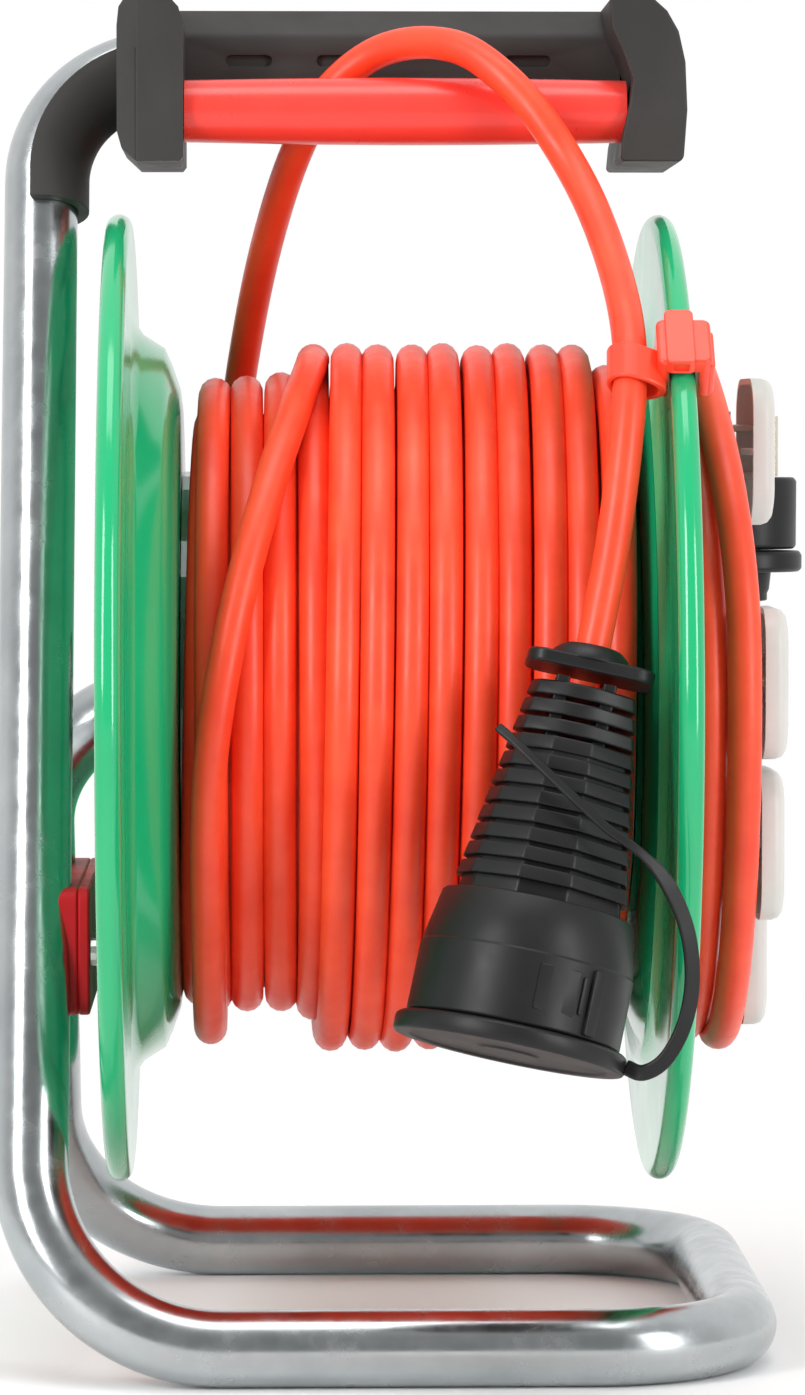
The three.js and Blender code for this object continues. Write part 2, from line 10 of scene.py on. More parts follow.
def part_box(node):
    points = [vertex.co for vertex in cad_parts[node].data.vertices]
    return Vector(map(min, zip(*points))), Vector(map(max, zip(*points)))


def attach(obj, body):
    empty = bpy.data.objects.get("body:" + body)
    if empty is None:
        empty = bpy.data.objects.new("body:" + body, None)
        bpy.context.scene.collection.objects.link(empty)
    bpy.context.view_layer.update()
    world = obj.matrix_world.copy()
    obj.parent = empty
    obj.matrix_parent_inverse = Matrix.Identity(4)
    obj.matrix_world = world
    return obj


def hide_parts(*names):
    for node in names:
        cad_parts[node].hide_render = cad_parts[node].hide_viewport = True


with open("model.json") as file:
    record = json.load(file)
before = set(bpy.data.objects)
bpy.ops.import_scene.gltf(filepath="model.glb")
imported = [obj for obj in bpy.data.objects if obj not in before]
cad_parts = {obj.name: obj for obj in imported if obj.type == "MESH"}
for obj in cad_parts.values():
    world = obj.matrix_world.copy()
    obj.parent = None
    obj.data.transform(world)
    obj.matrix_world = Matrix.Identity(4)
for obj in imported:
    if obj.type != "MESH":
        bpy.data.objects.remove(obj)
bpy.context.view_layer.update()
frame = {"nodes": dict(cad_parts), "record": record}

# ---- sizes taken from the frame, in millimetres about the drum's middle ----
MM = 0.001
LEFT_LOW, LEFT_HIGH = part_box("drum_flange_left")
RIGHT_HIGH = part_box("drum_flange_right")[1]
DRUM_X = (LEFT_LOW[0] + RIGHT_HIGH[0]) / 2
AXLE_Z = (LEFT_LOW[2] + LEFT_HIGH[2]) / 2 / MM
FLANGE_R = (LEFT_HIGH[2] - LEFT_LOW[2]) / 2 / MM

TUBE_R = 11.0
CORD_R = 4.9
CORD_PITCH = 9.75
TOP_TURN_R = 101.5
LEFT_X = -104.6
RIGHT_X = 101
FOOT_Y = 105
HANDLE_Y = 25
HANDLE_Z = 382
LEFT_HUB_FACE = 62
RIGHT_HUB_FACE = 70.5
SOCKET_ANGLES = [13, 84, 121, 172]
SOCKET_RING_R = 76
WELL_RING_R = 62.5
LID_HALF = 22
LID_PIN_X = 102.2
LID_PIN_INSET = 2
BUTTON_Z = 187
PLUG_X = 109
PLUG_Y = 38
SHARP_ANGLE = math.radians(38)
MERGE_DISTANCE = 1e-7


def mm(x, y, z):
    """A place given in millimetres, with x from the drum's middle."""
    return Vector((DRUM_X + x * MM, y * MM, z * MM))


# ---- camera ----
CAMERA_LENS = 141.4
CAMERA_YAW = 1.39
CAMERA_PITCH = 2.76
CAMERA_PLACE = (-35.9, -1650, 270.5)


def make_camera():
    data = bpy.data.cameras.new("camera")
    data.lens = CAMERA_LENS
    camera = bpy.data.objects.new("camera", data)
    camera.location = mm(*CAMERA_PLACE)
    camera.rotation_euler = (math.radians(90 - CAMERA_PITCH), 0, math.radians(-CAMERA_YAW))
    bpy.context.scene.collection.objects.link(camera)
    bpy.context.scene.camera = camera


make_camera()


# ---- materials ----
class Nodes:
    """A small helper that adds and links shader nodes."""

    def __init__(self, name):
        self.material = bpy.data.materials.new(name)
        self.material.use_nodes = True
        self.tree = self.material.node_tree
        self.shader = self.tree.nodes["Principled BSDF"]
        self.coords = self.tree.nodes.new("ShaderNodeTexCoord").outputs["Object"]

    def add(self, kind, **values):
        node = self.tree.nodes.new(kind)
        for key, value in values.items():
            if key in node.inputs:
                node.inputs[key].default_value = value
            else:
                setattr(node, key, value)
        return node

    def link(self, output, target):
        self.tree.links.new(output, target)

    def noise(self, scale, detail=4.0, rough=0.6, stretch=(1, 1, 1)):
        mapping = self.add("ShaderNodeMapping")
        mapping.inputs["Scale"].default_value = stretch
        self.link(self.coords, mapping.inputs["Vector"])
        node = self.add("ShaderNodeTexNoise", Scale=scale, Detail=detail, Roughness=rough)
        self.link(mapping.outputs["Vector"], node.inputs["Vector"])
        return node.outputs["Fac"]

    def ramp(self, source, stops):
        node = self.add("ShaderNodeValToRGB")
        elements = node.color_ramp.elements
        while len(elements) < len(stops):
            elements.new(0.5)
        for element, (place, color) in zip(elements, stops):
            element.position = place
            element.color = (*color, 1)
        self.link(source, node.inputs["Fac"])
        return node.outputs["Color"]

    def spread(self, source, low, high, from_low=0.3, from_high=0.7):
        node = self.add("ShaderNodeMapRange")
        limits = {"From Min": from_low, "From Max": from_high, "To Min": low, "To Max": high}
        for key, value in limits.items():
            node.inputs[key].default_value = value
        self.link(source, node.inputs["Value"])
        return node.outputs["Result"]

    def bump(self, source, strength, distance):
        node = self.add("ShaderNodeBump", Strength=strength, Distance=distance)
        self.link(source, node.inputs["Height"])
        self.link(node.outputs["Normal"], self.shader.inputs["Normal"])

    def set(self, **values):
        for key, value in values.items():
            self.shader.inputs[key.replace("_", " ")].default_value = value


def shade(color, factor):
    return tuple(min(1.0, channel * factor) for channel in color)


def plastic(name, color, rough, grain=900, depth=0.00003, coat=0.0, vary=0.12, strength=0.25, specular=0.5):
    """Moulded plastic: a little colour drift, a fine grain and uneven gloss."""
    nodes = Nodes(name)
    drift = nodes.noise(18, 3)
    nodes.link(nodes.ramp(drift, [(0.3, shade(color, 1 - vary)), (0.7, shade(color, 1 + vary))]),
               nodes.shader.inputs["Base Color"])
    nodes.link(nodes.spread(nodes.noise(60, 5), rough * 0.85, rough * 1.15), nodes.shader.inputs["Roughness"])
    nodes.bump(nodes.noise(grain, 2), strength, depth)
    nodes.set(Coat_Weight=coat, Coat_Roughness=0.12, Specular_IOR_Level=specular)
    return nodes.material


def zinc():
    """Bright zinc plate: drawn streaks, faint spangle and cloudy gloss."""
    nodes = Nodes("zinc plate")
    cloud = nodes.noise(26, 6, 0.65)
    tones = [(0.25, (0.36, 0.385, 0.395)), (0.55, (0.46, 0.485, 0.495)), (0.8, (0.54, 0.56, 0.565))]
    nodes.link(nodes.ramp(cloud, tones), nodes.shader.inputs["Base Color"])
    streak = nodes.noise(900, 3, 0.6, (0.12, 0.12, 0.12))
    nodes.link(nodes.spread(streak, 0.15, 0.3), nodes.shader.inputs["Roughness"])
    nodes.bump(nodes.noise(1100, 3, 0.6), 0.12, 0.00003)
    nodes.set(Metallic=1.0)
    return nodes.material


def sheath():
    """Soft cord sheath: satin, slightly mottled, with fine drag marks."""
    nodes = Nodes("cord sheath")
    mottle = nodes.noise(45, 4)
    nodes.link(nodes.ramp(mottle, [(0.3, (0.86, 0.050, 0.016)), (0.7, (0.98, 0.082, 0.026))]),
               nodes.shader.inputs["Base Color"])
    nodes.link(nodes.spread(nodes.noise(150, 4), 0.34, 0.46), nodes.shader.inputs["Roughness"])
    nodes.bump(nodes.noise(320, 4), 0.16, 0.00005)
    nodes.set(Subsurface_Weight=0.05, Subsurface_Scale=0.002, Specular_IOR_Level=0.45)
    return nodes.material


def metal(name, color, rough):
    """Small bright metal parts, with a faint grain."""
    nodes = Nodes(name)
    nodes.link(nodes.ramp(nodes.noise(90, 4), [(0.3, shade(color, 0.85)), (0.7, shade(color, 1.1))]),
               nodes.shader.inputs["Base Color"])
    nodes.link(nodes.spread(nodes.noise(200, 3), rough * 0.8, rough * 1.3), nodes.shader.inputs["Roughness"])
    nodes.bump(nodes.noise(500, 2), 0.1, 0.00003)
    nodes.set(Metallic=1.0)
    return nodes.material


MATERIALS = {
    "zinc_tube": zinc(),
    "grip_black": plastic("grip black", (0.034, 0.032, 0.030), 0.55, grain=650, depth=0.00012, vary=0.2,
                          strength=0.45, specular=0.3),
    "guide_red": plastic("guide red", (0.90, 0.048, 0.034), 0.3, coat=0.15, vary=0.05),
    "bracket_red": plastic("bracket red", (0.46, 0.008, 0.012), 0.5, specular=0.2),
    "screw_steel": metal("screw steel", (0.55, 0.55, 0.53), 0.3),
    "drum_green": plastic("drum green", (0.010, 0.40, 0.155), 0.16, grain=300, coat=0.3, vary=0.04,
                          strength=0.05),
    "bush_white": plastic("bush white", (0.72, 0.71, 0.66), 0.4),
    "cord_orange": sheath(),
    "clip_red": plastic("clip red", (0.90, 0.055, 0.020), 0.34, coat=0.15),
    "rubber_black": plastic("rubber black", (0.0085, 0.0085, 0.009), 0.42, grain=500, depth=0.00005,
                            vary=0.25, strength=0.3, specular=0.3),
    "socket_grey": plastic("socket grey", (0.62, 0.595, 0.565), 0.4, grain=800, depth=0.00004, vary=0.04),
    "pin_brass": metal("pin brass", (0.72, 0.66, 0.52), 0.25),
}


def finish_piece(obj, slot, body, *nodes):
    """Gives a piece the material of its record slot and the body that it rides on."""
    obj.data.materials.clear()
    obj.data.materials.append(MATERIALS[slot])
    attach(obj, body)
    if nodes:
        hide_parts(*nodes)
    return obj


# ---- mesh makers ----
def mesh_object(name, points, faces, smooth=True):
    mesh = bpy.data.meshes.new(name)
    mesh.from_pydata([tuple(point) for point in points], [], faces)
    mesh.validate()
    work = bmesh.new()
    work.from_mesh(mesh)
    bmesh.ops.remove_doubles(work, verts=work.verts, dist=MERGE_DISTANCE)
    bmesh.ops.recalc_face_normals(work, faces=work.faces)
    work.to_mesh(mesh)
    work.free()
    obj = bpy.data.objects.new(name, mesh)
    bpy.context.scene.collection.objects.link(obj)
    if smooth:
        mesh.polygons.foreach_set("use_smooth", [True] * len(mesh.polygons))
        mesh.set_sharp_from_angle(angle=SHARP_ANGLE)
    return obj


def add_bevel(obj, width, segments=3, angle=35):
    bevel = obj.modifiers.new("round edges", "BEVEL")
    bevel.width = width * MM
    bevel.segments = segments
    bevel.limit_method = "ANGLE"
    bevel.angle_limit = math.radians(angle)
    return obj


def catmull(points, per_span):
    """Points along a smooth curve through the given points."""
    ends = [points[0] * 2 - points[1], *points, points[-1] * 2 - points[-2]]
    route = []
    for i in range(1, len(ends) - 2):
        a, b, c, d = ends[i - 1:i + 3]
        for step in range(per_span):
            t = step / per_span
            route.append(0.5 * ((2 * b) + (c - a) * t + (2 * a - 5 * b + 4 * c - d) * t ** 2
                                + (3 * b - a - 3 * c + d) * t ** 3))
    route.append(points[-1])
    return route


def path_frames(route):
    """A direction and two side vectors at each point, turning as little as possible."""
    directions = []
    for i in range(len(route)):
        before = route[max(i - 1, 0)]
        after = route[min(i + 1, len(route) - 1)]
        directions.append((after - before).normalized())
    side = directions[0].orthogonal().normalized()
    frames = []
    for i, direction in enumerate(directions):
        if i:
            turn = directions[i - 1].rotation_difference(direction)
            side = (turn @ side).normalized()
        side = (side - direction * side.dot(direction)).normalized()
        frames.append((direction, side, direction.cross(side)))
    return frames


def sweep(name, route, radius, sides):
    """A closed tube along a route; radius is in metres, or a function of the share of the route."""
    points, faces = [], []
    frames = path_frames(route)
    for i, (place, (_, side, up)) in enumerate(zip(route, frames)):
        share = i / (len(route) - 1)
        size = radius(share) if callable(radius) else radius
        for j in range(sides):
            angle = 2 * math.pi * j / sides
            points.append(place + (side * math.cos(angle) + up * math.sin(angle)) * size)
    for i in range(len(route) - 1):
        for j in range(sides):
            k = (j + 1) % sides
            faces.append((i * sides + j, i * sides + k, (i + 1) * sides + k, (i + 1) * sides + j))
    faces.append(tuple(range(sides)))
    faces.append(tuple(range((len(route) - 1) * sides, len(route) * sides)))
    return mesh_object(name, points, faces)


def lathe(name, outline, sides, place):
    """A body of revolution. place(r, h, angle) turns a point of the outline into a place."""
    points, faces = [], []
    count = len(outline)
    for i in range(sides):
        angle = 2 * math.pi * i / sides
        points.extend(place(r, h, angle) for r, h in outline)
    for i in range(sides):
        k = (i + 1) % sides
        for j in range(count):
            n = (j + 1) % count
            faces.append((i * count + j, i * count + n, k * count + n, k * count + j))
    return mesh_object(name, points, faces)


def about_axle(r, x, angle):
    return mm(x, -r * math.sin(angle), AXLE_Z + r * math.cos(angle))


def about_x(y, z):
    """A placer for small round pieces lying along X."""
    return lambda r, x, angle: mm(x, y - r * math.sin(angle), z + r * math.cos(angle))


def rounded_outline(low, high, radius, steps=6):
    """A rectangle's outline with round corners, as (u, v) points."""
    corners = [(high[0] - radius, high[1] - radius, 0), (low[0] + radius, high[1] - radius, 90),
               (low[0] + radius, low[1] + radius, 180), (high[0] - radius, low[1] + radius, 270)]
    points = []
    for u, v, start in corners:
        for step in range(steps + 1):
            angle = math.radians(start + 90 * step / steps)
            points.append((u + radius * math.cos(angle), v + radius * math.sin(angle)))
    return points


def prism(name, outline, low, high, place):
    """An outline of (u, v) points pushed from low to high; place(u, v, w) gives each place."""
    count = len(outline)
    points = [place(u, v, low) for u, v in outline] + [place(u, v, high) for u, v in outline]
    faces = [(i, (i + 1) % count, count + (i + 1) % count, count + i) for i in range(count)]
    faces.append(tuple(range(count)))
    faces.append(tuple(range(count, 2 * count)))
    return mesh_object(name, points, faces)


def box_piece(name, x, y, z, place=mm):
    """A block from (low, high) pairs, one for each of the placer's directions."""
    return prism(name, [(x[0], y[0]), (x[1], y[0]), (x[1], y[1]), (x[0], y[1])], z[0], z[1], place)


def cut_with(obj, tool):
    """Cuts the tool out of the piece for good and removes the tool."""
    boolean = obj.modifiers.new("cut", "BOOLEAN")
    boolean.operation = "DIFFERENCE"
    boolean.solver = "EXACT"
    boolean.object = tool
    bake(obj)
    bpy.data.objects.remove(tool)


def bake(obj):
    """Applies the piece's modifiers."""
    graph = bpy.context.evaluated_depsgraph_get()
    graph.update()
    mesh = bpy.data.meshes.new_from_object(obj.evaluated_get(graph))
    obj.modifiers.clear()
    obj.data = mesh


def merge(name, pieces):
    """One object of several, with their modifiers applied."""
    work = bmesh.new()
    for piece in pieces:
        if piece.modifiers:
            bake(piece)
        work.from_mesh(piece.data)
    mesh = bpy.data.meshes.new(name)
    work.to_mesh(mesh)
    work.free()
    for piece in pieces:
        bpy.data.objects.remove(piece)
    mesh.set_sharp_from_angle(angle=SHARP_ANGLE)
    obj = bpy.data.objects.new(name, mesh)
    bpy.context.scene.collection.objects.link(obj)
    return obj


# ---- cords ----
def ease(value, low, high):
    """0 below low, 1 above high, and a smooth step between."""
    t = min(max((value - low) / (high - low), 0), 1)
    return t * t * (3 - 2 * t)


def round_axle(x, radius, degrees):
    """A place round the axle, from the top and over the front."""
    return about_axle(radius, x, math.radians(degrees))


LOOSE_TURN_R = 99.4
LOOSE_TURN_END = 272
LOOSE_STEP = 16
LOOSE_START_X = -22.7
LOOSE_LEAN = 31
LEAN_DONE = 110
DROP_DONE = 40
FREE_ROUTE = [
    (-52, 96, 222), (-49, 86, 254), (-45, 68, 287), (-39, 43, 319), (-32, 19, 344), (-25, 3.5, 361),
    (-17, 0, 374), (-5, -5, 383.5), (8, -14, 386.5), (21, -25, 384), (32, -33, 376), (42, -38, 365),
    (51, -43, 351), (58, -54, 336), (63, -72, 319), (65.5, -92, 303), (65.8, -104.5, 288), (64, -113.5, 268),
    (60.4, -119.8, 242), (56.4, -123.6, 221), (53.9, -125.8, 209.3),
]


def tail_route():
    """The loose turn round the back of the drum, then the free run to the coupling."""
    points = []
    for degrees in range(0, LOOSE_TURN_END + 1, LOOSE_STEP):
        x = LOOSE_START_X - LOOSE_LEAN * ease(degrees, 0, LEAN_DONE)
        radius = TOP_TURN_R + (LOOSE_TURN_R - TOP_TURN_R) * min(degrees / DROP_DONE, 1)
        points.append(round_axle(x, radius, degrees))
    points.extend(mm(*place) for place in FREE_ROUTE)
    return catmull(points, 6)


WINDING_LEFT = -57.1
WINDING_RIGHT = 64.4
WINDING_STEP = 15
LAYER_RADII = [TOP_TURN_R, 92.8, 82.6, 73.6]
LOW_TURN_R = 89.6
LOW_TURNS_END = -16
LOW_TURNS_FADE = 8
LAYER_WAVE = 0.35
HUMP_HEIGHT = 4.6
TURN_WOBBLE = 0.4
CROSS_OVER = (0.05, 0.5)
LAYER_CLIMB = (0.2, 0.5, 0.8)


def layer_radius(layer, x, degrees):
    """The second layer sinks beneath the loose turn, and humps up at the top where it is free."""
    if layer != 1:
        return LAYER_RADII[layer] + LAYER_WAVE * math.sin(x * 0.9)
    sink = ease(LOW_TURNS_END - x, 0, LOW_TURNS_FADE)
    top = ease(math.cos(math.radians(degrees)), 0.55, 1)
    turn_by_turn = 0.72 + 0.28 * math.sin(x * 0.55 + 2.2)
    near_flange = 0.35 + 0.65 * ease(x, -57, -50)
    hump = HUMP_HEIGHT * top * turn_by_turn * near_flange
    return LAYER_RADII[1] + sink * (LOW_TURN_R - LAYER_RADII[1] + hump)


def winding_route():
    """From the loose turn's start back through four layers to the core."""
    degrees = 0.0
    x = LOOSE_START_X
    points = []
    for layer in range(len(LAYER_RADII)):
        start = x
        goal = WINDING_RIGHT if layer % 2 == 0 else WINDING_LEFT
        steps = int(abs(goal - start) / CORD_PITCH * 360 / WINDING_STEP)
        for step in range(steps):
            x = start + (goal - start) * step / steps
            shift = TURN_WOBBLE * math.sin(math.radians(degrees) + x * 0.31)
            if layer == 1:
                phase = (-degrees % 360) / 360
                settled = min(step / 12, (steps - step) / 6, 1)
                shift += CORD_PITCH * (phase - ease(phase, *CROSS_OVER)) * settled
            points.append(round_axle(x + shift, layer_radius(layer, x, degrees), degrees))
            degrees -= WINDING_STEP
        x = goal
        if layer < len(LAYER_RADII) - 1:
            for share in LAYER_CLIMB:
                here = layer_radius(layer, x, degrees)
                there = layer_radius(layer + 1, x, degrees)
                points.append(round_axle(goal, here + (there - here) * share, degrees))
                degrees -= WINDING_STEP
    return catmull(points, 2)


def route_length(route):
    return sum((b - a).length for a, b in zip(route, route[1:]))


GLAND_START = 207
SUPPLY_LEAVE = 932
SUPPLY_STEP = 12
SUPPLY_R = 89.2
SUPPLY_X = 92
SUPPLY_R_CHANGES = [(2, GLAND_START, 260), (5.6, 390, 460), (4.5, 515, 560)]
SUPPLY_X_CHANGES = [(-2.6, GLAND_START, 300), (2, 600, 690), (7.4, 732, 800), (9.8, 900, 936)]
SUPPLY_END = [(71, 126), (67, 141), (57, 156), (46, 172), (39, 189), (PLUG_Y, 203.6)]


def changed(start, changes, degrees):
    """The start value and each (amount, from, to) change, as far as it has come at this angle."""
    return start + sum(amount * ease(degrees, low, high) for amount, low, high in changes)


def supply_route():
    """Out of the gland, twice round the socket face, then in to the plug.

    The first turn keeps low and close to the flange; the second bulges away from it at the front."""
    points = []
    for degrees in range(GLAND_START, SUPPLY_LEAVE + 1, SUPPLY_STEP):
        x = changed(SUPPLY_X, SUPPLY_X_CHANGES, degrees)
        radius = changed(SUPPLY_R, SUPPLY_R_CHANGES, degrees)
        points.append(round_axle(x, radius, degrees))
    points.extend(mm(PLUG_X, y, z) for y, z in SUPPLY_END)
    return catmull(points, 3)


def make_cords():
    """The three cords, each with its route."""
    tail = tail_route()
    winding = winding_route()
    supply = supply_route()
    radius = CORD_R * MM
    tail_obj = sweep("main_cord_tail_loose", tail, radius, 20)
    winding_obj = sweep("main_cord_wound", winding, radius, 14)
    supply_obj = sweep("supply_cord_looped", supply, radius, 18)
    finish_piece(tail_obj, "cord_orange", "frame", "main_cord_tail")
    finish_piece(winding_obj, "cord_orange", "drum", "main_cord_winding")
    finish_piece(supply_obj, "cord_orange", "drum", "supply_cord_coil", "supply_cord_end")
    return (tail_obj, tail), (winding_obj, winding), (supply_obj, supply)


(tail_cord, tail_path), (winding_cord, winding_path), (supply_cord, supply_path) = make_cords()


# ---- steel frame ----
def bent_route(corners, radii, per_bend, straight_step):
    """Corner points joined by straights and round bends."""
    points = [Vector(corner) for corner in corners]
    route = [points[0]]
    for i in range(1, len(points) - 1):
        into = (points[i] - points[i - 1]).normalized()
        out = (points[i + 1] - points[i]).normalized()
        turn = into.angle(out)
        start = points[i] - into * radii[i - 1] * math.tan(turn / 2)
        inward = (out - into * into.dot(out)).normalized()
        centre = start + inward * radii[i - 1]
        run = (start - route[-1]).length
        parts = max(int(run / straight_step), 1)
        last = route[-1]
        route.extend(last.lerp(start, part / parts) for part in range(1, parts))
        for step in range(per_bend + 1):
            angle = turn * step / per_bend
            route.append(centre + (into * math.sin(angle) - inward * math.cos(angle)) * radii[i - 1])
    route.append(points[-1])
    return route


HANDLE_END_X = 78
AXLE_END_X = 81
REAR_X = LEFT_X - 2
FRAME_CORNERS = [
    (HANDLE_END_X, HANDLE_Y, HANDLE_Z), (LEFT_X, HANDLE_Y, HANDLE_Z), (LEFT_X, -FOOT_Y, TUBE_R),
    (RIGHT_X, -FOOT_Y, TUBE_R), (RIGHT_X, FOOT_Y, TUBE_R), (REAR_X, FOOT_Y, TUBE_R), (REAR_X, 0, AXLE_Z),
    (AXLE_END_X, 0, AXLE_Z),
]
HANDLE_BEND = 38
FRAME_BENDS = [HANDLE_BEND, 55, 45, 45, 55, 46]


def make_frame():
    """One tube from the handle's free end round both feet to the axle's end."""
    route = bent_route(FRAME_CORNERS, FRAME_BENDS, per_bend=28, straight_step=10)
    tube = sweep("frame_tube_plated", [mm(*place) for place in route], TUBE_R * MM, 40)
    finish_piece(tube, "zinc_tube", "frame", "frame_tube")


make_frame()


# ---- handle ----
def side_view(y, z, x):
    """A placer for outlines drawn as seen from the side."""
    return mm(x, y, z)


def front_view(x, z, y):
    """A placer for outlines drawn as seen from the front."""
    return mm(x, y, z)


BEAM_X = (-63, 70)
BEAM_OUTLINE = [(9.5, 366), (40, 366), (42, 370), (42, 392), (37, 398.2), (28, 399), (17, 398.2),
                (9.4, 391.6), (8.4, 390.4), (8, 389)]
DENT_X = [-42, -14.5, 42]
DENT_HALF = 7
DENT_Z = (380.9, 384.3)
DENT_Y = (6, 10.2)
CHEEK_Y = (-29, 42)
LEFT_CHEEK = [(-78.6, 399), (-80.4, 396.5), (-81, 391), (-81, 360), (-79.6, 355), (-75, 350.7),
              (-62.3, 350.7), (-61.2, 352), (-61.2, 391), (-62.6, 396), (-65.4, 399)]
RIGHT_CHEEK = [(64.6, 398.6), (65.2, 390), (68.4, 383), (71.4, 375), (70.6, 368), (68.4, 358),
               (67.8, 351.6), (68.6, 350.7), (85.6, 350.7), (86.6, 352), (87.6, 366), (87, 380), (85, 389),
               (81.6, 395), (77.6, 398.6)]
GUIDE_LEFT_X = -61
GUIDE_LENGTH = 131
GUIDE_Y = -16
GUIDE_Z = 366
GUIDE_END_R = 9.2
GUIDE_BELLY = 0.8
GUIDE_STEPS = 40


def make_beam():
    beam = prism("handle_grip_beam", BEAM_OUTLINE, *BEAM_X, side_view)
    for x in DENT_X:
        outline = rounded_outline((x - DENT_HALF, DENT_Z[0]), (x + DENT_HALF, DENT_Z[1]), 1.65)
        cut_with(beam, prism("dent", outline, *DENT_Y, front_view))
    add_bevel(beam, 1.2, 3, 25)
    finish_piece(beam, "grip_black", "frame", "handle_grip_front", "handle_grip_rear")


def make_cheek(name, outline, has_groove):
    cheek = prism(name, outline, *CHEEK_Y, front_view)
    if has_groove:
        cut_with(cheek, prism("corner", [(-82, -30), (-73.8, -30), (-82, -19)], 340, 410, mm))
        cut_with(cheek, box_piece("groove", (-76.2, -75.1), (-31, -27.6), (351, 384)))
    add_bevel(cheek, 1.8, 4, 30)
    finish_piece(cheek, "grip_black", "frame")


def make_guide_bar():
    """A round bar, a little fuller at its middle."""
    steps = range(GUIDE_STEPS + 1)
    route = [mm(GUIDE_LEFT_X + GUIDE_LENGTH * i / GUIDE_STEPS, GUIDE_Y, GUIDE_Z) for i in steps]

    def radius(share):
        return (GUIDE_END_R + GUIDE_BELLY * math.sin(math.pi * share)) * MM

    bar = sweep("cable_guide_bar_moulded", route, radius, 40)
    finish_piece(bar, "guide_red", "frame", "cable_guide_bar")


ELBOW_OPEN = 60
ELBOW_STEPS = 24
ELBOW_GAP = 0.15
ELBOW_THICK = 3.5
ELBOW_END_X = -70
ELBOW_END = (LEFT_X, 9.2, 337)
ELBOW_CENTRE = (LEFT_X + HANDLE_BEND, HANDLE_Y, HANDLE_Z - HANDLE_BEND)


def make_elbow():
    """A sleeve round the elbow that leaves the outer side of the tube bare."""
    corners = [(ELBOW_END_X, HANDLE_Y, HANDLE_Z), (LEFT_X, HANDLE_Y, HANDLE_Z), ELBOW_END]
    inner_route = [mm(*place) for place in bent_route(corners, [HANDLE_BEND], ELBOW_STEPS, straight_step=6)]
    centre = mm(*ELBOW_CENTRE)
    points, faces = [], []
    steps = ELBOW_STEPS
    for place, (direction, _, _) in zip(inner_route, path_frames(inner_route)):
        outward = place - centre
        outward = (outward - direction * outward.dot(direction)).normalized()
        side = direction.cross(outward)
        for radius in (TUBE_R + ELBOW_GAP, TUBE_R + ELBOW_THICK):
            for step in range(steps + 1):
                angle = math.radians(ELBOW_OPEN + (360 - 2 * ELBOW_OPEN) * step / steps)
                points.append(place + (outward * math.cos(angle) + side * math.sin(angle)) * radius * MM)
    ring = 2 * (steps + 1)
    order = list(range(steps + 1)) + list(range(ring - 1, steps, -1))
    for i in range(len(inner_route) - 1):
        for a, b in zip(order, order[1:] + order[:1]):
            faces.append((i * ring + a, i * ring + b, (i + 1) * ring + b, (i + 1) * ring + a))
    last = (len(inner_route) - 1) * ring
    for step in range(steps):
        faces.append((step, step + 1, steps + 2 + step, steps + 1 + step))
        faces.append((last + step, last + step + 1, last + steps + 2 + step, last + steps + 1 + step))
    elbow = mesh_object("handle_elbow_sleeve", points, faces)
    add_bevel(elbow, 0.7, 2, 40)
    finish_piece(elbow, "grip_black", "frame", "handle_elbow_cover")


make_beam()
make_cheek("handle_cheek_left", LEFT_CHEEK, has_groove=True)
make_cheek("handle_cheek_right", RIGHT_CHEEK, has_groove=False)
make_guide_bar()
make_elbow()


# ---- bracket ----
BRACKET_LOW = (-70, 102)
BRACKET_HIGH = (52, 139)
BRACKET_ROOM = ((-52, 105), (34, 136))
BOSS_Y = (-34, 14)
BOSS_Z = 121
BOSS_OUTLINE = [(0.01, -103), (7, -103), (7.6, -91), (0.01, -91)]


def make_bracket():
    """A plate and a deep rim between the uprights, with two screw bosses."""
    outline = rounded_outline(BRACKET_LOW, BRACKET_HIGH, 5)
    plate = prism("upright_bracket_plate", outline, -91.5, -88, side_view)
    add_bevel(plate, 0.8, 2, 35)
    finish_piece(plate, "bracket_red", "frame")
    rim = prism("upright_bracket_rim", outline, -103.5, -91.4, side_view)
    cut_with(rim, prism("rim room", rounded_outline(*BRACKET_ROOM, 4), -110, -80, side_view))
    add_bevel(rim, 0.8, 2, 35)
    finish_piece(rim, "bracket_red", "frame", "upright_bracket")
    for y in BOSS_Y:
        boss = lathe("upright_bracket_boss", BOSS_OUTLINE, 28, about_x(y, BOSS_Z))
        add_bevel(boss, 0.6, 2)
        finish_piece(boss, "bracket_red", "frame")


make_bracket()


# ---- drum ----
RIM_X = 80.65
RIM_BEAD_R = 3.66
RIM_STEPS = 12
LEFT_HUB = [(22.5, 65.2), (22.5, 52), (16.6, 52), (16.6, 36), (26, 36), (26, 62)]
RIGHT_HUB = [(26, 73.7), (26, 79.5), (16.6, 79.5), (16.6, 70.5)]


def flange_outline(hub_face, hub):
    """From the hub's face out over the dish, round the rim's bead and back: (radius, distance out)."""
    dish = [(88, hub_face), (93, hub_face + 0.6), (100, hub_face + 3), (105, hub_face + 5.2), (109, 73.5),
            (112, 75.6), (116, 76.6), (134, 77)]
    bead = []
    for step in range(RIM_STEPS + 1):
        angle = math.radians(-90 + 180 * step / RIM_STEPS)
        radius = FLANGE_R - RIM_BEAD_R + RIM_BEAD_R * math.cos(angle)
        bead.append((radius, RIM_X + RIM_BEAD_R * math.sin(angle)))
    back = [(135, 83.6), (132.5, 82), (131, 80.4), (114, 79.6), (108, 77.4), (103, hub_face + 8.2),
            (97, hub_face + 5), (90, hub_face + 3.4), (87, hub_face + 3.2)]
    return dish + bead + back + hub


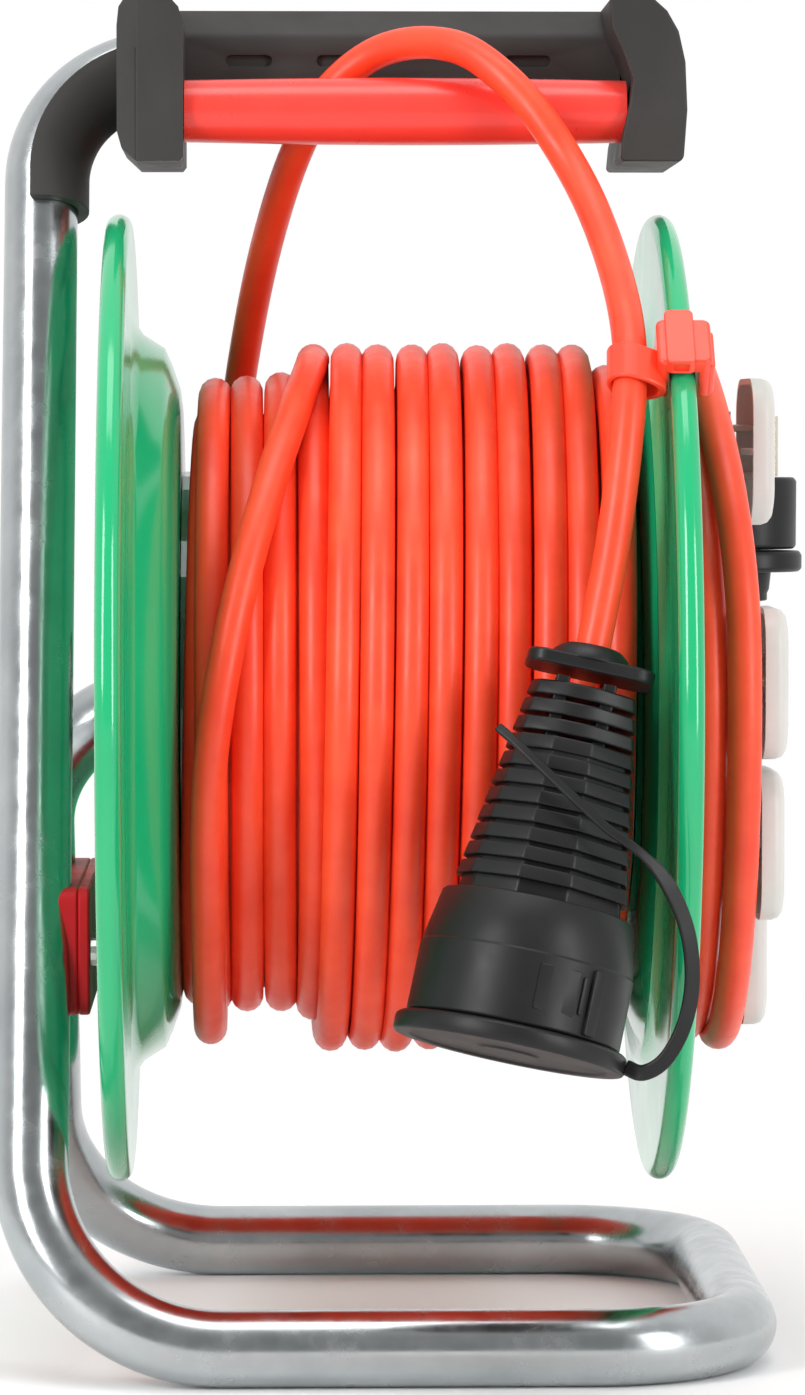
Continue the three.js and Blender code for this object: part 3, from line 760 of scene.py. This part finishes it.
def make_flange(side, sign, hub_face, hub):
    """One flange; sign is -1 for the left one and 1 for the right one."""
    outline = [(r, sign * out) for r, out in flange_outline(hub_face, hub)]
    flange = lathe(f"drum_flange_{side}_moulded", outline, 144, about_axle)
    add_bevel(flange, 0.7, 2, 40)
    finish_piece(flange, "drum_green", "drum", f"drum_flange_{side}")


make_flange("left", -1, LEFT_HUB_FACE, LEFT_HUB)
make_flange("right", 1, RIGHT_HUB_FACE, RIGHT_HUB)


# ---- rim clip ----
CLIP_TURN = Matrix.Rotation(math.radians(45), 3, "X")
CLIP_DIRECTION = Vector((-0.5, -10.8, -17.5)).normalized()
BAND_PLACE = (65.8, -104.5, 288)
BAND_OUTLINE = [(5.15, -5.6), (6.6, -5.6), (6.6, 5.6), (5.15, 5.6)]
BAND_STRETCH = 0.55
BAND_TILT = 1.2


def on_rim(u, v, w):
    """A place at the clip: along the axle, round the rim and out from the axle."""
    local = CLIP_TURN @ Vector((0, v, w))
    return mm(u, local.y, AXLE_Z + local.z)


def make_buckle():
    """A saddle over the rim, with an upright tab and a side hook."""
    saddle = prism("rim_clip_saddle", rounded_outline((73.2, -9.5), (88.6, 8), 2.2), 136, 150.2, on_rim)
    cut_with(saddle, box_piece("rim room", (76.4, 84.9), (-20, 20), (130, 145.6), on_rim))
    add_bevel(saddle, 0.9, 3, 35)
    finish_piece(saddle, "clip_red", "frame", "rim_clip")
    tab = prism("rim_clip_tab", rounded_outline((75.6, -10.4), (83.8, 11), 1.8), 146.4, 151, on_rim)
    cut_with(tab, box_piece("window", (77.4, 82), (-11.5, -8.2), (147.2, 149.6), on_rim))
    add_bevel(tab, 0.6, 3, 35)
    finish_piece(tab, "clip_red", "frame")
    hook = prism("rim_clip_hook", rounded_outline((86, -9), (89.5, 6), 1.7), 137, 147.4, on_rim)
    cut_with(hook, box_piece("eye", (85, 88), (-7, -2.6), (139, 146), on_rim))
    add_bevel(hook, 0.7, 3, 35)
    finish_piece(hook, "clip_red", "frame")


def make_band():
    """The clip's band, round the cord and drawn out towards the buckle."""
    centre = mm(*BAND_PLACE)
    side = Vector((1, 0, 0))
    side = (side - CLIP_DIRECTION * side.dot(CLIP_DIRECTION)).normalized()
    up = CLIP_DIRECTION.cross(side)

    def on_cord(r, h, angle):
        stretch = 1 + BAND_STRETCH * max(math.cos(angle), 0)
        along = CLIP_DIRECTION * (h + BAND_TILT * math.cos(angle)) * MM
        return centre + along + (side * math.cos(angle) * stretch + up * math.sin(angle)) * r * MM

    band = lathe("rim_clip_band", BAND_OUTLINE, 48, on_cord)
    add_bevel(band, 0.5, 2, 35)
    finish_piece(band, "clip_red", "frame")


make_buckle()
make_band()


# ---- coupling ----
COUPLING_TOP = mm(53.6, -126, 208)
COUPLING_DOWN = Vector((-24.6, -22.1, -111)).normalized()
COUPLING_TURN = Vector((0, 0, -1)).rotation_difference(COUPLING_DOWN)


def on_coupling(x, y, down):
    """A place in millimetres about the coupling's axis, measured down from its top."""
    return COUPLING_TOP + COUPLING_TURN @ (Vector((x, y, -down)) * MM)


def coupling_lathe(name, outline, body, node, sides=96):
    def place(r, down, angle):
        return on_coupling(r * math.cos(angle), r * math.sin(angle), down)

    obj = lathe(name, outline, sides, place)
    add_bevel(obj, 0.35, 2, 38)
    return finish_piece(obj, "rubber_black", body, node)


RELIEF_LENGTH = 71
RELIEF_TOP_HALF = 13.4
RELIEF_FLARE = 11.6
RELIEF_INSET = 2.0
OPEN_DEPTH = 0.72
OPEN_RIBS = 3
CLOSED_RIBS = 8
RIB_START = 9.4
RIB_PITCH = 5.35
RIB_THICK = 4.1
STRUT_X = 6.6
STRUT_HALF = (1.9, 7.6)
NECK = [(5.2, -2.6), (8.2, -2.6), (10.6, -0.6), (11.4, 2), (5.2, 2)]
FACETS = [(-0.34, -0.93), (0.27, -0.93), (0.95, -0.42), (1.0, 0.0), (0.95, 0.42), (0.27, 0.93), (-0.34, 0.93),
          (-0.86, 0.52), (-1.0, 0.12), (-1.0, -0.12), (-0.86, -0.52)]


def relief_half_width(down):
    return RELIEF_TOP_HALF + RELIEF_FLARE * down / RELIEF_LENGTH


def rib_depth(index):
    """How deep a rib is for its width; the open ones are the flattest."""
    if index < OPEN_RIBS:
        return OPEN_DEPTH
    return 0.85 + 0.12 * min((index - OPEN_RIBS) / 4, 1)


def facet_plate(name, down_low, down_high, half_low, half_high, deep):
    """A many-sided plate across the coupling's axis; deep flattens it from front to back."""
    count = len(FACETS)
    points, faces = [], []
    for down, half in ((down_low, half_low), (down_high, half_high)):
        points.extend(on_coupling(u * half, v * half * deep, down) for u, v in FACETS)
    for i in range(count):
        k = (i + 1) % count
        faces.append((i, k, count + k, count + i))
    faces.append(tuple(range(count)))
    faces.append(tuple(range(count, 2 * count)))
    plate = mesh_object(name, points, faces)
    add_bevel(plate, 0.55, 3, 32)
    return finish_piece(plate, "rubber_black", "frame")


def make_struts():
    struts = []
    half_x, half_y = STRUT_HALF
    for x in (-STRUT_X, STRUT_X):
        for i in range(OPEN_RIBS + 1):
            down = RIB_START + RIB_PITCH * i
            outline = rounded_outline((x - half_x, -half_y), (x + half_x, half_y), 0.6)
            struts.append(prism("coupling_strut", outline, down - 1.8, down + 0.4, on_coupling))
    return finish_piece(merge("coupling_struts", struts), "rubber_black", "frame")


def make_relief():
    """A top plate, open ribs joined by struts, then ribs on a solid cone."""
    pieces = [coupling_lathe("coupling_relief_neck", NECK, "frame", "coupling_strain_relief", sides=64)]
    outline = rounded_outline((-17.6, -10.5), (18.4, 10.5), 5.5)
    plate = prism("coupling_top_plate", outline, 1.4, 5.2, on_coupling)
    add_bevel(plate, 0.7, 3, 35)
    pieces.append(finish_piece(plate, "rubber_black", "frame"))
    for i in range(OPEN_RIBS + CLOSED_RIBS):
        top = RIB_START + RIB_PITCH * i
        foot = top + RIB_THICK
        low, high = relief_half_width(top) - 0.2, relief_half_width(foot)
        pieces.append(facet_plate(f"coupling_rib_{i + 1}", top, foot, low, high, rib_depth(i)))
    top = RIB_START + RIB_PITCH * OPEN_RIBS + 1
    low, high = (relief_half_width(down) - RELIEF_INSET for down in (top, RELIEF_LENGTH))
    pieces.append(facet_plate("coupling_relief_cone", top, RELIEF_LENGTH, low, high, 0.9))
    pieces.append(make_struts())
    return pieces


BODY_R = 30
SHELL = [(18, 71.4), (26.4, 71.4), (27.0, 72), (29.5, 85), (29.6, 86.6), (BODY_R, 86.9), (BODY_R, 106.3),
         (29.5, 106.9), (24.5, 106.9), (24.5, 82), (18, 82)]
CAP = [(0.01, 107.3), (31.4, 107.3), (32.4, 108), (32.6, 109), (32.6, 112), (32.1, 112.9), (28, 113),
       (27.4, 112.3), (9, 112.3), (8.4, 112.9), (0.01, 112.9)]


def make_coupling():
    """The pieces that hang on the cord's end; the cap has its own body."""
    pieces = make_relief()
    pieces.append(coupling_lathe("coupling_body_shell", SHELL, "frame", "coupling_body"))
    coupling_lathe("coupling_cap_disc", CAP, "coupling_cap", "coupling_cap")
    pieces.append(make_window())
    pieces.append(make_strap())
    return pieces


def on_body(u, v, w):
    """A place on the coupling's curved side: across, down and out from it."""
    angle = u / BODY_R
    return on_coupling((BODY_R + w) * math.sin(angle), -(BODY_R + w) * math.cos(angle), v)


PANELS = [((2.5, 89.5), (14.5, 102), 0.45), ((15.5, 90.5), (17, 101), 0.8), ((18.4, 88), (22, 106), 1.5)]


def make_window():
    """A blank raised panel and the latch bar beside it."""
    panels = []
    for low, high, out in PANELS:
        panel = prism("panel", rounded_outline(low, high, 0.5, 3), -0.6, out, on_body)
        panels.append(add_bevel(panel, 0.25, 2, 35))
    return finish_piece(merge("coupling_panels", panels), "rubber_black", "frame")


STRAP_POINTS = [(32, -6, 110.3), (37, -8, 111), (42, -10, 106.5), (45, -12, 97), (45, -14, 86),
                (42, -17, 75), (37, -20, 66), (30, -23.5, 58.5), (22, -25.5, 53.5), (13, -25.5, 49.5),
                (4, -24.5, 44), (-6, -22.5, 37.5), (-15, -20, 31.5), (-22, -17, 27)]
STRAP_FACING = Vector((0.35, -1, 0))
STRAP_HALF_THICK = 0.8
STRAP_HALF_WIDE = 2.2
STRAP_NARROWS = 0.9


def make_strap():
    """The cap's flat strap, up round the side and across the ribs."""
    route = catmull([on_coupling(*place) for place in STRAP_POINTS], 6)
    facing = COUPLING_TURN @ STRAP_FACING
    points, faces = [], []
    for i, (place, (direction, _, _)) in enumerate(zip(route, path_frames(route))):
        out = (facing - direction * facing.dot(direction)).normalized()
        side = direction.cross(out)
        width = STRAP_HALF_WIDE - STRAP_NARROWS * ease(i / (len(route) - 1), 0.5, 0.62)
        for a, b in ((-1, -1), (1, -1), (1, 1), (-1, 1)):
            points.append(place + side * a * width * MM + out * b * STRAP_HALF_THICK * MM)
    for i in range(len(route) - 1):
        for j in range(4):
            k = (j + 1) % 4
            faces.append((i * 4 + j, i * 4 + k, (i + 1) * 4 + k, (i + 1) * 4 + j))
    faces.append((0, 1, 2, 3))
    last = (len(route) - 1) * 4
    faces.append((last, last + 1, last + 2, last + 3))
    strap = mesh_object("coupling_cap_strap", points, faces)
    add_bevel(strap, 0.5, 2, 50)
    return finish_piece(strap, "rubber_black", "frame", "coupling_strap")


coupling_pieces = make_coupling()


# ---- socket face ----
WELL = [(0.01, 88), (18, 88), (18, 140), (0.01, 140)]
BUTTON_HOLE = [(0.01, 90), (3, 90), (3, 110), (0.01, 110)]
HOUSING = [(14.5, 85.6), (81, 85.6), (82.8, 87), (82.8, 96.4), (81.4, 98), (0.01, 98), (0.01, 96),
           (14.5, 96)]


def well_centre(degrees, radius):
    """The (y, z) of a place on a ring about the axle."""
    angle = math.radians(degrees)
    return -radius * math.sin(angle), AXLE_Z + radius * math.cos(angle)


def hinge_place(degrees):
    """The (y, z) of the middle of a lid's pin."""
    y, z = well_centre(degrees, SOCKET_RING_R)
    return y + LID_HALF - LID_PIN_INSET, z


def make_housing():
    """A round cover with four wells, a bay for the plug and a hole for the button."""
    housing = lathe("socket_housing_moulded", HOUSING, 120, about_axle)
    for degrees in SOCKET_ANGLES:
        y, z = well_centre(degrees, WELL_RING_R)
        cut_with(housing, lathe("well", WELL, 48, about_x(y, z)))
    cut_with(housing, box_piece("plug bay", (88, 140), (15, 95), (200, 300)))
    cut_with(housing, lathe("button hole", BUTTON_HOLE, 32, about_x(0, BUTTON_Z)))
    add_bevel(housing, 0.5, 2, 40)
    finish_piece(housing, "socket_grey", "drum", "socket_housing")


FIRST_LID_AJAR = 2
LID_EDGE = 21.7
LID_PAST_PIN = 1.7
LID_CORNER_R = 11
LID_LOOPS = [(0, 2.9), (0.05, 6.4), (0.7, 8.2), (2.2, 9.3), (4.6, 9.75)]
LID_HOLLOW_LOOPS = [(5.6, 7.9), (3.4, 7.2), (2.2, 6), (1.7, 2.9)]
ARM_Z = (-7, 7)
ARM_HALF = 1.1


def lid_cup(name, place):
    """Loops of (inset, height) from the lip over the dome, then back up the hollow."""
    points, faces = [], []
    for inset, out in LID_LOOPS + LID_HOLLOW_LOOPS:
        low = (LID_PAST_PIN - 2 * LID_EDGE + inset, -LID_EDGE + inset)
        high = (LID_PAST_PIN - inset, LID_EDGE - inset)
        outline = rounded_outline(low, high, LID_CORNER_R - inset, 8)
        points.extend(place(u, v, out) for u, v in outline)
    count = len(outline)
    loops = len(LID_LOOPS)
    total = loops + len(LID_HOLLOW_LOOPS)
    for i in range(total):
        for j in range(count):
            if i != loops - 1:
                k = (j + 1) % count
                n = (i + 1) % total
                faces.append((i * count + j, i * count + k, n * count + k, n * count + j))
    faces.append(tuple(range((loops - 1) * count, loops * count)))
    faces.append(tuple(range(loops * count, (loops + 1) * count)))
    return mesh_object(name, points, faces)


def make_lid(index, degrees):
    """A shallow cup with a domed face and round corners, its open side to the socket."""
    name = f"socket_lid_{index + 1}"
    body = f"lid_{index + 1}"
    hinge_y, hinge_z = hinge_place(degrees)
    turn = Matrix.Rotation(math.radians(FIRST_LID_AJAR if index == 0 else 0), 3, "Z")

    def place(u, v, w):
        local = turn @ Vector((w, u, v))
        return mm(LID_PIN_X + local.x, hinge_y + local.y, hinge_z + local.z)

    finish_piece(lid_cup(f"{name}_cup", place), "socket_grey", body, name)
    for z in ARM_Z:
        arm = box_piece(f"{name}_arm", (-4.5, 1.2), (z - ARM_HALF, z + ARM_HALF), (-0.9, 7.8), place)
        add_bevel(arm, 0.5, 2, 35)
        finish_piece(arm, "socket_grey", body)
    hook = box_piece(f"{name}_hook", (-34, -6), (-1, 1), (3.4, 7.6), place)
    add_bevel(hook, 0.4, 2, 35)
    finish_piece(hook, "socket_grey", body)


SPRING_TURNS = 5
SPRING_STEPS = 60
SPRING_R = 1.8
SPRING_HALF = 3
SPRING_WIRE_R = 0.35
SPRING_LEG = (-0.5, -8, 3.4)


def make_spring(index, degrees):
    """A few turns of wire on the pin, and one leg."""
    hinge_y, hinge_z = hinge_place(degrees)
    route = []
    for step in range(SPRING_STEPS + 1):
        share = step / SPRING_STEPS
        angle = 2 * math.pi * SPRING_TURNS * share
        route.append(mm(LID_PIN_X + SPRING_R * math.cos(angle), hinge_y + SPRING_R * math.sin(angle),
                        hinge_z + SPRING_HALF * (2 * share - 1)))
    leg_x, leg_y, leg_z = SPRING_LEG
    route.append(mm(LID_PIN_X + leg_x, hinge_y + leg_y, hinge_z + leg_z))
    spring = sweep(f"lid_spring_{index + 1}_wire", route, SPRING_WIRE_R * MM, 8)
    finish_piece(spring, "screw_steel", "drum", f"lid_spring_{index + 1}")


BUTTON = [(0.01, 98.4), (2.5, 98.4), (2.5, 118.6), (2.1, 119.7), (1.2, 120), (0.01, 120)]


def make_button():
    button = lathe("reset_button_moulded", BUTTON, 32, about_x(0, BUTTON_Z))
    finish_piece(button, "rubber_black", "reset_button", "reset_button")


PLUG_SHELL = [(0.01, 235), (16.6, 235), (17.4, 236), (17.5, 255.8), (16.6, 257), (0.01, 257)]
PLUG_COLLAR = [(0.01, 228), (18.2, 228), (19.2, 229), (19.2, 233), (18.4, 234.4), (0.01, 234.4)]
PLUG_RIBS = 3
PLUG_RIB_START = 208.5
PLUG_RIB_PITCH = 4.6


def plug_place(r, z, angle):
    return mm(PLUG_X + r * math.cos(angle), PLUG_Y + r * math.sin(angle), z)


def plug_neck():
    """The plug's ribbed neck, each rib a little wider than the last."""
    outline = [(5.0, 204.4), (7.0, 204.4), (7.2, 207)]
    for i in range(PLUG_RIBS):
        base = PLUG_RIB_START + PLUG_RIB_PITCH * i
        width = 7.4 + 0.6 * i
        outline += [(5.9, base), (5.9, base + 1), (width, base + 1.4), (width, base + 3.6)]
    return outline + [(9.2, 222.6), (9.8, 228), (5.0, 228)]


def make_plug():
    made = []
    for name, outline, nodes in (("supply_plug_shell", PLUG_SHELL, ["supply_plug_body"]),
                                 ("supply_plug_collar", PLUG_COLLAR, []),
                                 ("supply_plug_neck", plug_neck(), ["supply_plug_relief"])):
        piece = lathe(name, outline, 64, plug_place)
        add_bevel(piece, 0.4, 2, 38)
        made.append(finish_piece(piece, "rubber_black", "drum", *nodes))
    return made


GLAND_TURN = Matrix.Rotation(math.radians(200), 3, "X")
GLAND = [(5.0, -11), (5.3, -11), (5.6, -3), (5.75, 4), (5.75, 10.6), (0.01, 10.6), (0.01, 9), (5.0, 9)]


def gland_place(r, h, angle):
    local = GLAND_TURN @ Vector((0, h, SUPPLY_R + r * math.cos(angle)))
    return mm(SUPPLY_X + r * math.sin(angle), local.y, AXLE_Z + local.z)


def make_gland():
    """A sleeve round the supply cord, where it leaves the housing."""
    gland = lathe("supply_gland_sleeve", GLAND, 40, gland_place)
    return finish_piece(gland, "rubber_black", "drum", "supply_gland")


make_housing()
for lid_index, lid_angle in enumerate(SOCKET_ANGLES):
    make_lid(lid_index, lid_angle)
    make_spring(lid_index, lid_angle)
make_button()
plug_pieces = make_plug()
gland_piece = make_gland()


# ---- finishes of the CAD nodes that stay ----
for row in frame["record"]["subparts"]:
    node = frame["nodes"][row["node"]]
    node.data.materials.clear()
    node.data.materials.append(MATERIALS[row["material_slot"]])


# ---- what the cords are ----
tuple(tail_path[0])
round(route_length(tail_path), 3)
[tuple(place) for place in tail_path]
tuple(winding_path[0])
round(route_length(winding_path), 2)
[tuple(place) for place in winding_path]
tuple(supply_path[0])
round(route_length(supply_path), 3)
[tuple(place) for place in supply_path]


# ---- stage ----
FLOOR_HALF = 3
FLOOR_FADE = (0.28, 0.75)
FLOOR_TONE = 0.93
DARK_SIDE = 0.32
DARK_TO_WHITE = (-0.75, 0.2)
LIGHT_AIM = Vector((0, 0, 0.2))
LIGHTS = [("key", (-1.5, -1.7, 1.1), (0.6, 1.6), 36), ("fill", (1.6, -1.6, 0.8), (0.5, 1.6), 26),
          ("top", (0.0, -0.4, 1.9), (1.2, 0.8), 10)]


def make_stage():
    """A pale floor that takes the contact shadow and fades into plain white."""
    corners = [(-FLOOR_HALF, -FLOOR_HALF, 0), (FLOOR_HALF, -FLOOR_HALF, 0), (FLOOR_HALF, FLOOR_HALF, 0),
               (-FLOOR_HALF, FLOOR_HALF, 0)]
    floor = mesh_object("floor", corners, [(0, 1, 2, 3)], smooth=False)
    nodes = Nodes("pale floor")
    nodes.set(Base_Color=(FLOOR_TONE, FLOOR_TONE, FLOOR_TONE, 1), Roughness=0.6)
    length = nodes.add("ShaderNodeVectorMath", operation="LENGTH")
    nodes.link(nodes.coords, length.inputs[0])
    fade = nodes.spread(length.outputs["Value"], 0, 1, *FLOOR_FADE)
    plain = nodes.add("ShaderNodeEmission", Color=(1, 1, 1, 1), Strength=1.0)
    mix = nodes.add("ShaderNodeMixShader")
    nodes.link(fade, mix.inputs["Fac"])
    nodes.link(nodes.shader.outputs["BSDF"], mix.inputs[1])
    nodes.link(plain.outputs["Emission"], mix.inputs[2])
    nodes.link(mix.outputs["Shader"], nodes.tree.nodes["Material Output"].inputs["Surface"])
    floor.data.materials.append(nodes.material)


def make_light(name, place, size, power):
    """A soft box aimed at the object's middle."""
    data = bpy.data.lights.new(name, "AREA")
    data.shape = "RECTANGLE"
    data.size, data.size_y = size
    data.energy = power
    light = bpy.data.objects.new(name, data)
    light.location = place
    light.rotation_euler = (LIGHT_AIM - Vector(place)).to_track_quat("-Z", "Y").to_euler()
    bpy.context.scene.collection.objects.link(light)


def make_world():
    """White behind the object, and greyer behind the camera, where the metal mirrors it."""
    world = bpy.data.worlds.new("studio")
    world.use_nodes = True
    tree = world.node_tree
    background = tree.nodes["Background"]
    coords = tree.nodes.new("ShaderNodeTexCoord")
    split = tree.nodes.new("ShaderNodeSeparateXYZ")
    ramp = tree.nodes.new("ShaderNodeMapRange")
    ramp.inputs["From Min"].default_value, ramp.inputs["From Max"].default_value = DARK_TO_WHITE
    ramp.inputs["To Min"].default_value = DARK_SIDE
    ramp.inputs["To Max"].default_value = 1.0
    tree.links.new(coords.outputs["Generated"], split.inputs["Vector"])
    tree.links.new(split.outputs["Y"], ramp.inputs["Value"])
    tree.links.new(ramp.outputs["Result"], background.inputs["Color"])
    background.inputs["Strength"].default_value = 1.0
    bpy.context.scene.world = world


make_stage()
make_world()
for light_values in LIGHTS:
    make_light(*light_values)
bpy.context.scene.view_settings.view_transform = "Standard"
